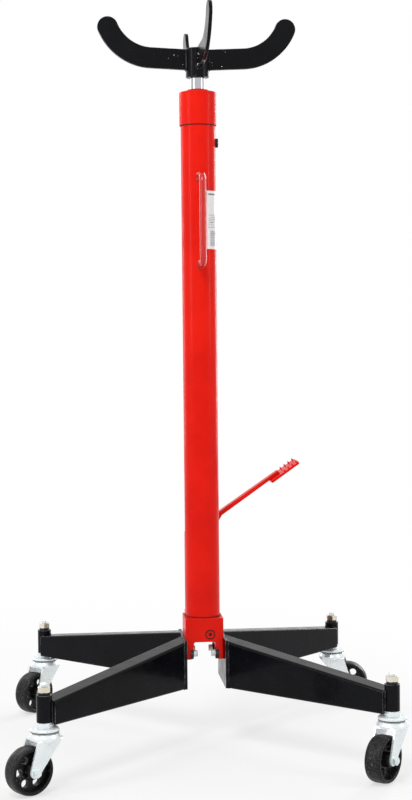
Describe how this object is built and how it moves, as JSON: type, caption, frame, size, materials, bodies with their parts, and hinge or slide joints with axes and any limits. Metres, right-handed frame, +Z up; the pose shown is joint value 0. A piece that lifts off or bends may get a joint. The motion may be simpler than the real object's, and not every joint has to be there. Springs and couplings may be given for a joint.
{
  "type": "vertical hydraulic transmission jack",
  "caption": "Foot-pumped vertical hydraulic jack: slim column, chrome ram, four-horn saddle, tapered legs on swivel casters.",
  "frame": {"origin": "on the floor, under the column's axis", "axes": "+Z up the column, -Y the side with the carry handle, +X the side with the foot pedal"},
  "size_m": [0.6854, 0.6422, 1.2597],
  "materials": {
    "red_enamel": "gloss enamel",
    "black_enamel": "gloss enamel",
    "black_plastic": "moulded",
    "wheel_resin": "moulded, a little dusty",
    "zinc_plate": "bright zinc plate",
    "passivated_zinc": "pale passivated zinc",
    "black_oxide": "black oxide",
    "hard_chrome": "polished hard chrome",
    "ground_steel": "ground",
    "bronze": "machined bronze",
    "seal_rubber": "moulded",
    "spring_steel": "oiled wire",
    "label_film": "printed film"
  },
  "bodies": {
    "frame": {"base_housing": "red_enamel", "pump_block": "red_enamel", "column_tube": "red_enamel", "top_gland": "red_enamel", "carry_handle": "red_enamel", "gallery_plug": "red_enamel", "pump_barrel": "red_enamel", "pedal_bracket": "red_enamel", "leg_plate_left": "black_enamel", "leg_plate_right": "black_enamel", "stem_tubes": "black_enamel", "leg_front_left": "black_enamel", "leg_front_right": "black_enamel", "leg_rear_left": "black_enamel", "leg_rear_right": "black_enamel", "filler_plug": "black_plastic", "caster_kingpins": "zinc_plate", "caster_races": "zinc_plate", "leg_studs": "zinc_plate", "fulcrum_pin": "zinc_plate", "stem_nuts": "passivated_zinc", "pump_gland_nut": "passivated_zinc", "leg_nuts": "black_oxide", "stem_spacers": "black_oxide", "bearing_cages": "black_oxide", "cylinder_tube": "ground_steel", "rod_guide_bush": "bronze", "rod_wiper": "seal_rubber", "return_spring": "spring_steel", "product_label": "label_film"},
    "ram": {"piston_rod": "hard_chrome", "piston": "ground_steel", "piston_seal": "seal_rubber"},
    "saddle": {"saddle_hub": "black_enamel", "saddle_arm_1": "black_enamel", "saddle_arm_2": "black_enamel", "saddle_arm_3": "black_enamel", "saddle_arm_4": "black_enamel"},
    "pedal": {"pedal_lever": "red_enamel", "pedal_link_pin": "zinc_plate", "pedal_plate": "red_enamel"},
    "plunger": {"pump_plunger": "ground_steel"},
    "valve": {"release_valve": "black_plastic"},
    "swivel_front_left": {"fork_front_left": "zinc_plate", "axle_front_left": "zinc_plate"},
    "wheel_front_left": {"wheel_front_left": "wheel_resin", "bush_front_left": "ground_steel"},
    "swivel_front_right": {"fork_front_right": "zinc_plate", "axle_front_right": "zinc_plate"},
    "wheel_front_right": {"wheel_front_right": "wheel_resin", "bush_front_right": "ground_steel"},
    "swivel_rear_left": {"fork_rear_left": "zinc_plate", "axle_rear_left": "zinc_plate"},
    "wheel_rear_left": {"wheel_rear_left": "wheel_resin", "bush_rear_left": "ground_steel"},
    "swivel_rear_right": {"fork_rear_right": "zinc_plate", "axle_rear_right": "zinc_plate"},
    "wheel_rear_right": {"wheel_rear_right": "wheel_resin", "bush_rear_right": "ground_steel"}
  },
  "joints": [
    {"name": "ram_slide", "type": "slide", "parent": "frame", "child": "ram", "axis": [0, 0, 1], "range_m": [0, 0.77]},
    {"name": "saddle_swivel", "type": "hinge", "parent": "ram", "child": "saddle", "pos_m": [0, 0, 1.18], "axis": [0, 0, 1], "continuous": true},
    {"name": "pedal_hinge", "type": "hinge", "parent": "frame", "child": "pedal", "pos_m": [-0.014, 0.052, 0.3594], "axis": [0, 1, 0], "range_deg": [0, 34], "stiffness_Nm_per_rad": 4, "springref_deg": -20.05},
    {"name": "plunger_slide", "type": "slide", "parent": "frame", "child": "plunger", "axis": [0, 0, 1], "range_m": [-0.0188, 0], "deforming": ["return_spring"]},
    {"name": "release_turn", "type": "hinge", "parent": "frame", "child": "valve", "pos_m": [-0.008, 0.072, 0.204], "axis": [0, 1, 0], "range_deg": [0, 180]},
    {"name": "caster_swivel_front_left", "type": "hinge", "parent": "frame", "child": "swivel_front_left", "pos_m": [-0.2775, -0.2775, 0.09], "axis": [0, 0, 1], "continuous": true},
    {"name": "wheel_spin_front_left", "type": "hinge", "parent": "swivel_front_left", "child": "wheel_front_left", "pos_m": [-0.30237, -0.29428, 0.038], "axis": [0.5592, -0.829, 0], "continuous": true},
    {"name": "caster_swivel_front_right", "type": "hinge", "parent": "frame", "child": "swivel_front_right", "pos_m": [0.2775, -0.2775, 0.09], "axis": [0, 0, 1], "continuous": true},
    {"name": "wheel_spin_front_right", "type": "hinge", "parent": "swivel_front_right", "child": "wheel_front_right", "pos_m": [0.25782, -0.30014, 0.038], "axis": [0.7547, -0.6561, 0], "continuous": true},
    {"name": "caster_swivel_rear_left", "type": "hinge", "parent": "frame", "child": "swivel_rear_left", "pos_m": [-0.2775, 0.2775, 0.09], "axis": [0, 0, 1], "continuous": true},
    {"name": "wheel_spin_rear_left", "type": "hinge", "parent": "swivel_rear_left", "child": "wheel_rear_left", "pos_m": [-0.29834, 0.25592, 0.038], "axis": [0.7193, -0.6947, 0], "continuous": true},
    {"name": "caster_swivel_rear_right", "type": "hinge", "parent": "frame", "child": "swivel_rear_right", "pos_m": [0.2775, 0.2775, 0.09], "axis": [0, 0, 1], "continuous": true},
    {"name": "wheel_spin_rear_right", "type": "hinge", "parent": "swivel_rear_right", "child": "wheel_rear_right", "pos_m": [0.30673, 0.27075, 0.038], "axis": [0.225, 0.9744, 0], "continuous": true}
  ],
  "couplings": [
    {"joint": "plunger_slide", "follows": "pedal_hinge", "m_per_rad": -0.03151}
  ]
}
